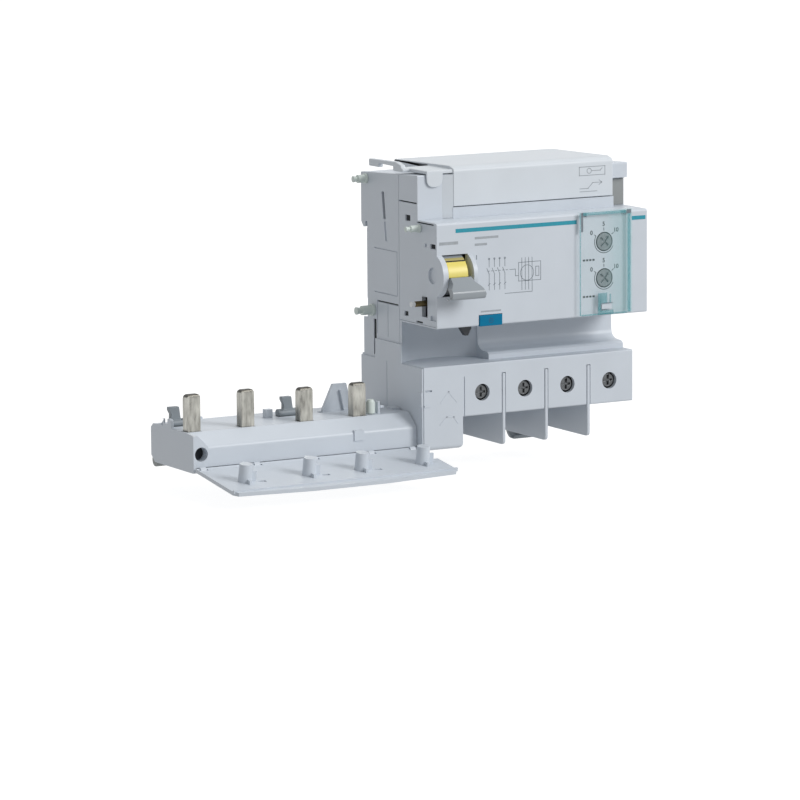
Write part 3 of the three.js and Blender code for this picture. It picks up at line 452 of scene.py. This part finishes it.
def round_dial(dial, angle, radius):
    """The (x, z) point at an angle and a distance from the middle of a dial."""
    x, z = dial
    return x + radius * math.cos(math.radians(angle)), z + radius * math.sin(math.radians(angle))


def dial_scales(bm):
    """Round each dial an arc and three ticks, and below it four short bars for its unit."""
    for dial in DIALS:
        add_ring(bm, dial, 4.9, 0.3, NOSE, 30, (150, 335))
        for angle in TICKS.values():
            add_bar(bm, round_dial(dial, angle, 4.9), round_dial(dial, angle, 5.9), 0.3, NOSE)
        z = dial[1] - 7.6
        for i in range(4):
            x = dial[0] - 10.4 + 1.6 * i
            add_bar(bm, (x, z), (x + 0.3, z), 0.8, NOSE)


def dial_gap_shade(bm):
    """Painted shade: a dark ring in the gap round each dial."""
    for dial in DIALS:
        add_ring(bm, dial, 4.0, 0.4, NOSE, 40)


def numeral(name, text, x, z):
    """A figure printed on the nose, centred on (x, z)."""
    curve = bpy.data.curves.new(name, "FONT")
    curve.body = text
    curve.size = 0.0026
    curve.offset = 0.00006
    curve.extrude = PRINT / 2000
    curve.align_x = "CENTER"
    curve.align_y = "CENTER"
    curve.resolution_u = 3
    curve.materials.append(LOOK["black_ink"])
    obj = bpy.data.objects.new(name, curve)
    upright = Matrix.Rotation(math.pi / 2, 4, "X")
    obj.matrix_world = Matrix.Translation(at(x, NOSE - PRINT / 2, z)) @ upright
    place(obj, "base")


def numerals():
    """The figures at the ticks of both dials."""
    for row, dial in enumerate(DIALS, 1):
        for i, (text, angle) in enumerate(TICKS.items(), 1):
            numeral(f"print_scale_{row}_{i}", text, *round_dial(dial, angle, 7.6))


def pictograms(bm):
    """Two plain pictures on the upper cover: a closed ring with a bar, and an arrow."""
    width = 0.32

    def line(*points):
        add_path(bm, points, width, COVER)

    line(*outline(79.6, 92.6, 36.9, 40.6))
    add_ring(bm, (84.6, 38.8), 1.1, width, COVER, 20)
    line((85.9, 38.8), (90.2, 38.8), (91.2, 39.8))
    line((79.9, 31.2), (84.0, 31.2), (86.4, 33.6), (91.0, 33.6))
    line((89.6, 34.6), (91.0, 33.6), (89.6, 32.6))
    line((79.9, 29.9), (88.5, 29.9))


def toggle_mark(bm):
    """The short upright line beside the toggle."""
    add_bar(bm, (19.4, 6.2), (19.4, 7.8), 0.35, NOSE)


def print_bars(bm):
    """Plain bars where a device of this kind carries its ratings."""
    for left, right, middle, height in (
        (1.2, 10.4, 13.8, 1.3),
        (18.6, 30.2, 15.2, 1.0),
        (18.6, 24.6, 12.4, 1.0),
        (21.4, 31.4, -16.4, 0.7),
    ):
        z = (middle - height / 2, middle + height / 2)
        add_box(bm, (left, right), (NOSE - PRINT, NOSE + SUNK), z)


def test_mark(bm):
    """A ring with a dot in it, on the test button."""
    x, z = 26.2, -20.4
    add_ring(bm, (x, z), 1.0, 0.3, BUTTON, 24)
    add_bar(bm, (x - 0.1, z), (x + 0.1, z), 0.4, BUTTON)


def print_marks():
    """All the print, on the housing and on the test button, and the painted shade in the gap round
    each dial.
    """
    make_piece("print_stripe", stripe, "teal")
    make_piece("print_schematic", schematic, "ink")
    make_piece("print_scales", dial_scales, "black_ink")
    make_piece("print_pictograms", pictograms, "pale_ink")
    make_piece("print_toggle_mark", toggle_mark, "ink")
    # painted shade in the gap round each dial
    make_piece("painted_dial_gap_shade", dial_gap_shade, "shadow")
    make_piece("print_bars", print_bars, "pale_ink")
    numerals()
    make_piece("print_test_mark", test_mark, "dark_blue_ink", "test_button_body")


# ------------------------------------------------------------------ window and toggle
def window_lines(bm):
    """The lines moulded along the window's four edges."""
    for x, z in (
        ((69.6, 70.1), (-21.6, 22.8)),
        ((93.8, 95.4), (-21.4, 22.8)),
        ((71.0, 93.0), (21.6, 22.9)),
        ((70.4, 93.6), (-21.8, -21.2)),
    ):
        add_box(bm, x, WINDOW_SKIN, z)


def window_tab(bm):
    """The raised frame of the seal tab at the window's lower edge."""
    for x, z in (
        ((78.8, 80.1), (-21.7, -12.4)),
        ((80.1, 83.3), (-16.8, -12.4)),
        ((84.6, 85.2), (-16.8, -13.0)),
        ((80.1, 86.4), (-21.7, -20.0)),
    ):
        add_box(bm, x, (-62.7, -62.4), z)


def window_shade(bm):
    """Painted shade at the hinge corners and above the seal tab's slot."""
    corner = (-62.5, -62.38)
    add_box(bm, (70.3, 71.3), WINDOW_SKIN, (14.6, 22.9))
    add_box(bm, (93.4, 95.6), corner, (21.4, 23.1))
    add_box(bm, (80.2, 86.4), corner, (-17.0, -16.7))


def window_parts():
    """Everything that rides on the setting window."""
    make_piece("window_lines", window_lines, "window_edge", "window")
    make_piece("window_tab", window_tab, "window_edge", "window")
    # painted shade on the window, in the grey print colour
    make_piece("window_hinge_shade", window_shade, "ink", "window")


def drum_band(first, last, lift=0):
    """Draws a thin curved skin on the toggle drum, between two angles above its front."""
    steps = math.ceil((last - first) / 3)
    outer = DRUM["radius"] + lift
    inner = outer - DRUM["skin"]
    left, right = DRUM["left"], DRUM["right"]
    corners = ((left, outer), (right, outer), (right, inner), (left, inner))

    def row(angle):
        forward, up = math.cos(angle), math.sin(angle)
        return [at(x, DRUM["y"] - r * forward, r * up) for x, r in corners]

    angles = [math.radians(first + (last - first) * i / steps) for i in range(steps + 1)]
    return lambda bm: join_rows(bm, [row(angle) for angle in angles])


def drum_bands():
    """Painted shade at the drum's step and upper edge, its grey bar, and its lower half painted
    dark as shade.
    """
    # painted shade: a dark line at the step in the drum's upper edge
    make_piece("drum_step_shade", drum_band(45, 49, 0.01), "shadow", "toggle")
    # painted shade: a darker copy of the yellow just above the step
    make_piece("drum_shade", drum_band(49, 60), "dim_yellow", "toggle")
    make_piece("drum_bar", drum_band(60, 84, 0.03), "handle", "toggle")
    # painted shade: the lower half dark, for the shade beside the handle's left end
    make_piece("drum_underside", drum_band(-125, -8), "dark", "toggle")


# ------------------------------------------------------------------ housings and side arm
def recess_shadows(bm):
    """Painted shade: dark plates at the bottoms of the small recesses in the left side, and of two
    deeper slots.
    """
    for y, z in (
        ((-59.2, -55.1), (11.5, 13.4)),
        ((-37.9, -33.9), (21.5, 23.9)),
        ((-35.7, -32.6), (-19.5, -17.6)),
        ((-48.0, -42.5), (-21.3, -20.7)),
        ((-57.7, -43.7), (21.35, 21.85)),
        ((-43.4, -28.6), (29.25, 29.75)),
        ((-27.1, -8.7), (-16.1, -15.6)),
    ):
        add_box(bm, (0.7, 0.85), y, z)
    add_box(bm, (0.4, 0.55), (-7.6, -5.7), (-39.4, -24.2))
    add_box(bm, (2.2, 2.4), (-18.5, -11.5), (19.0, 33.0))


def shoulder_recess_plate(bm):
    """A darker grey plate in the recess below the right shoulder's tab."""
    add_box(bm, (97.3, 104.7), (-41.9, -41.45), (22.7, 34.1))


def shoulder_ramp(bm):
    """A shallow ramp that takes the left shoulder's front out to the upper cover's front."""
    corners = ((12.1, -44.2), (12.1, -44.32), (16.6, -45.9), (16.6, -44.2))
    join_rows(bm, [[at(x, y, z) for x, y in corners] for z in (22.6, 41.2)])


def arm_clip(bm):
    """A moulded clip beside the side arm's peg."""
    add_box(bm, (-14.6, -13.6), (-34.6, -32.2), (-61, -55.4))
    add_box(bm, (-13.6, -11.6), (-34.6, -32.2), (-58.4, -57.2))


def arm_foot(bm):
    """The dark foot under the arm's far end."""
    add_disc(bm, (-104.9, -7.8, -76.3), "Y", radius=2.7, depth=6, sides=24)


def arm_hole_shade(bm):
    """Painted shade: a dark disc at the bottom of the hole in the arm's far end."""
    add_disc(bm, (-104.3, -39.5, -69.1), "X", radius=2.9, depth=0.3, sides=28)


def corner_arrows(bm):
    """Two raised arrow heads on the front of the left section."""
    for points in (
        ((8.4, -56.0), (12.2, -51.6), (16.2, -56.2)),
        ((8.0, -65.6), (11.2, -62.4), (14.6, -62.6), (16.8, -65.4)),
    ):
        add_path(bm, points, 0.5, LEFT_SECTION, 0.12)


def housing_details():
    """The small pieces on the housings and on the side arm."""
    make_piece("recess_shadows", recess_shadows, "shadow")
    make_piece("shoulder_recess_plate", shoulder_recess_plate, "insert", edge=0.2)
    # painted light: the upper cover's lighter plastic lifts the ramp's shade to that of its
    # neighbours
    make_piece("shoulder_ramp", shoulder_ramp, "cover")
    make_piece("arm_clip", arm_clip, "shell", edge=0.25)
    make_piece("arm_foot", arm_foot, "insert", edge=0.3)
    # painted shade at the bottom of the arm's hole
    make_piece("arm_hole_shade", arm_hole_shade, "shadow")
    make_piece("corner_arrows", corner_arrows, "shell")


# ------------------------------------------------------------------ studio, in metres
CAMERA = {  # angles in degrees, distance in metres, the rest in millimetres
    "azimuth": -29.519,
    "elevation": 8.772,
    "roll": -0.431,
    "distance": 1.984556,
    "lens": 209.44,
    "target": (0, -40, -20),
    "shift_right": -5.934,
    "shift_up": -34.777,
}
STAGE = {"front": -3.0, "bend": 2.2, "radius": 0.8, "top": 4.0, "half_width": 6, "steps": 12}


def backdrop_profile():
    """The (y, height) points of the floor, the bend behind it and the wall."""
    bend, radius = STAGE["bend"], STAGE["radius"]
    profile = [(STAGE["front"], 0)]
    for i in range(STAGE["steps"] + 1):
        angle = math.radians(90 * i / STAGE["steps"])
        profile.append((bend + radius * math.sin(angle), radius * (1 - math.cos(angle))))
    profile.append((bend + radius, STAGE["top"]))
    return profile


def backdrop():
    """A pale floor that curves up into a wall behind the object, and gives it no light."""
    bm = bmesh.new()
    half = STAGE["half_width"]
    rows = []
    for y, height in backdrop_profile():
        rows.append([bm.verts.new((x, y, FLOOR + height)) for x in (-half, half)])
    for one, two in zip(rows, rows[1:]):
        face = bm.faces.new((one[0], one[1], two[1], two[0]))
        face.smooth = True
    mesh = bpy.data.meshes.new("backdrop")
    bm.to_mesh(mesh)
    bm.free()
    look = Look("pale_floor")
    look.set("Base Color", (0.3, 0.3, 0.3, 1))
    look.set("Roughness", 0.9)
    look.set("Emission Color", (1, 1, 1, 1))
    look.set("Emission Strength", 0.86)
    mesh.materials.append(look.material)
    obj = bpy.data.objects.new("backdrop", mesh)
    bpy.context.scene.collection.objects.link(obj)
    obj.rotation_euler.z = math.radians(CAMERA["azimuth"])
    obj.visible_diffuse = False
    obj.visible_shadow = False


def camera_axes():
    """The camera's right, up and backward directions before it rolls."""
    a, e = math.radians(CAMERA["azimuth"]), math.radians(CAMERA["elevation"])
    back = Vector((math.sin(a) * math.cos(e), -math.cos(a) * math.cos(e), math.sin(e)))
    right = Vector((math.cos(a), math.sin(a), 0))
    return right, back.cross(right), back


def add_camera():
    """The camera, shifted sideways and up from its target and rolled a little."""
    right, up, back = camera_axes()
    aim = at(*CAMERA["target"])
    aim += (right * CAMERA["shift_right"] + up * CAMERA["shift_up"]) / 1000
    roll = math.radians(CAMERA["roll"])
    x = right * math.cos(roll) + up * math.sin(roll)
    y = up * math.cos(roll) - right * math.sin(roll)
    pose = Matrix((x, y, back)).transposed().to_4x4()
    pose.translation = aim + back * CAMERA["distance"]
    data = bpy.data.cameras.new("camera")
    data.lens = CAMERA["lens"]
    data.sensor_width = 36
    data.clip_end = 20
    camera = bpy.data.objects.new("camera", data)
    bpy.context.scene.collection.objects.link(camera)
    camera.matrix_world = pose
    bpy.context.scene.camera = camera


def add_light(name, position, size, power):
    """A round area light that faces the object."""
    data = bpy.data.lights.new(name, "AREA")
    data.shape = "DISK"
    data.size = size
    data.energy = power
    light = bpy.data.objects.new(name, data)
    bpy.context.scene.collection.objects.link(light)
    light.location = position
    light.rotation_euler = (-Vector(position)).to_track_quat("-Z", "Y").to_euler()


def add_world():
    """An even, slightly cool light from all sides."""
    world = bpy.data.worlds.new("studio")
    world.use_nodes = True
    background = world.node_tree.nodes["Background"]
    background.inputs["Color"].default_value = (0.97, 0.985, 1, 1)
    background.inputs["Strength"].default_value = 0.44
    bpy.context.scene.world = world


def studio():
    """The light, the backdrop and the camera."""
    add_world()
    add_light("key", (2.1, -3.3, 1.9), size=2.0, power=107)
    add_light("top", (0.3, 0.1, 1.8), size=1.0, power=8.5)
    bpy.context.scene.view_settings.view_transform = "Standard"
    backdrop()
    add_camera()


dress_cad()
print_marks()
window_parts()
drum_bands()
housing_details()
studio()
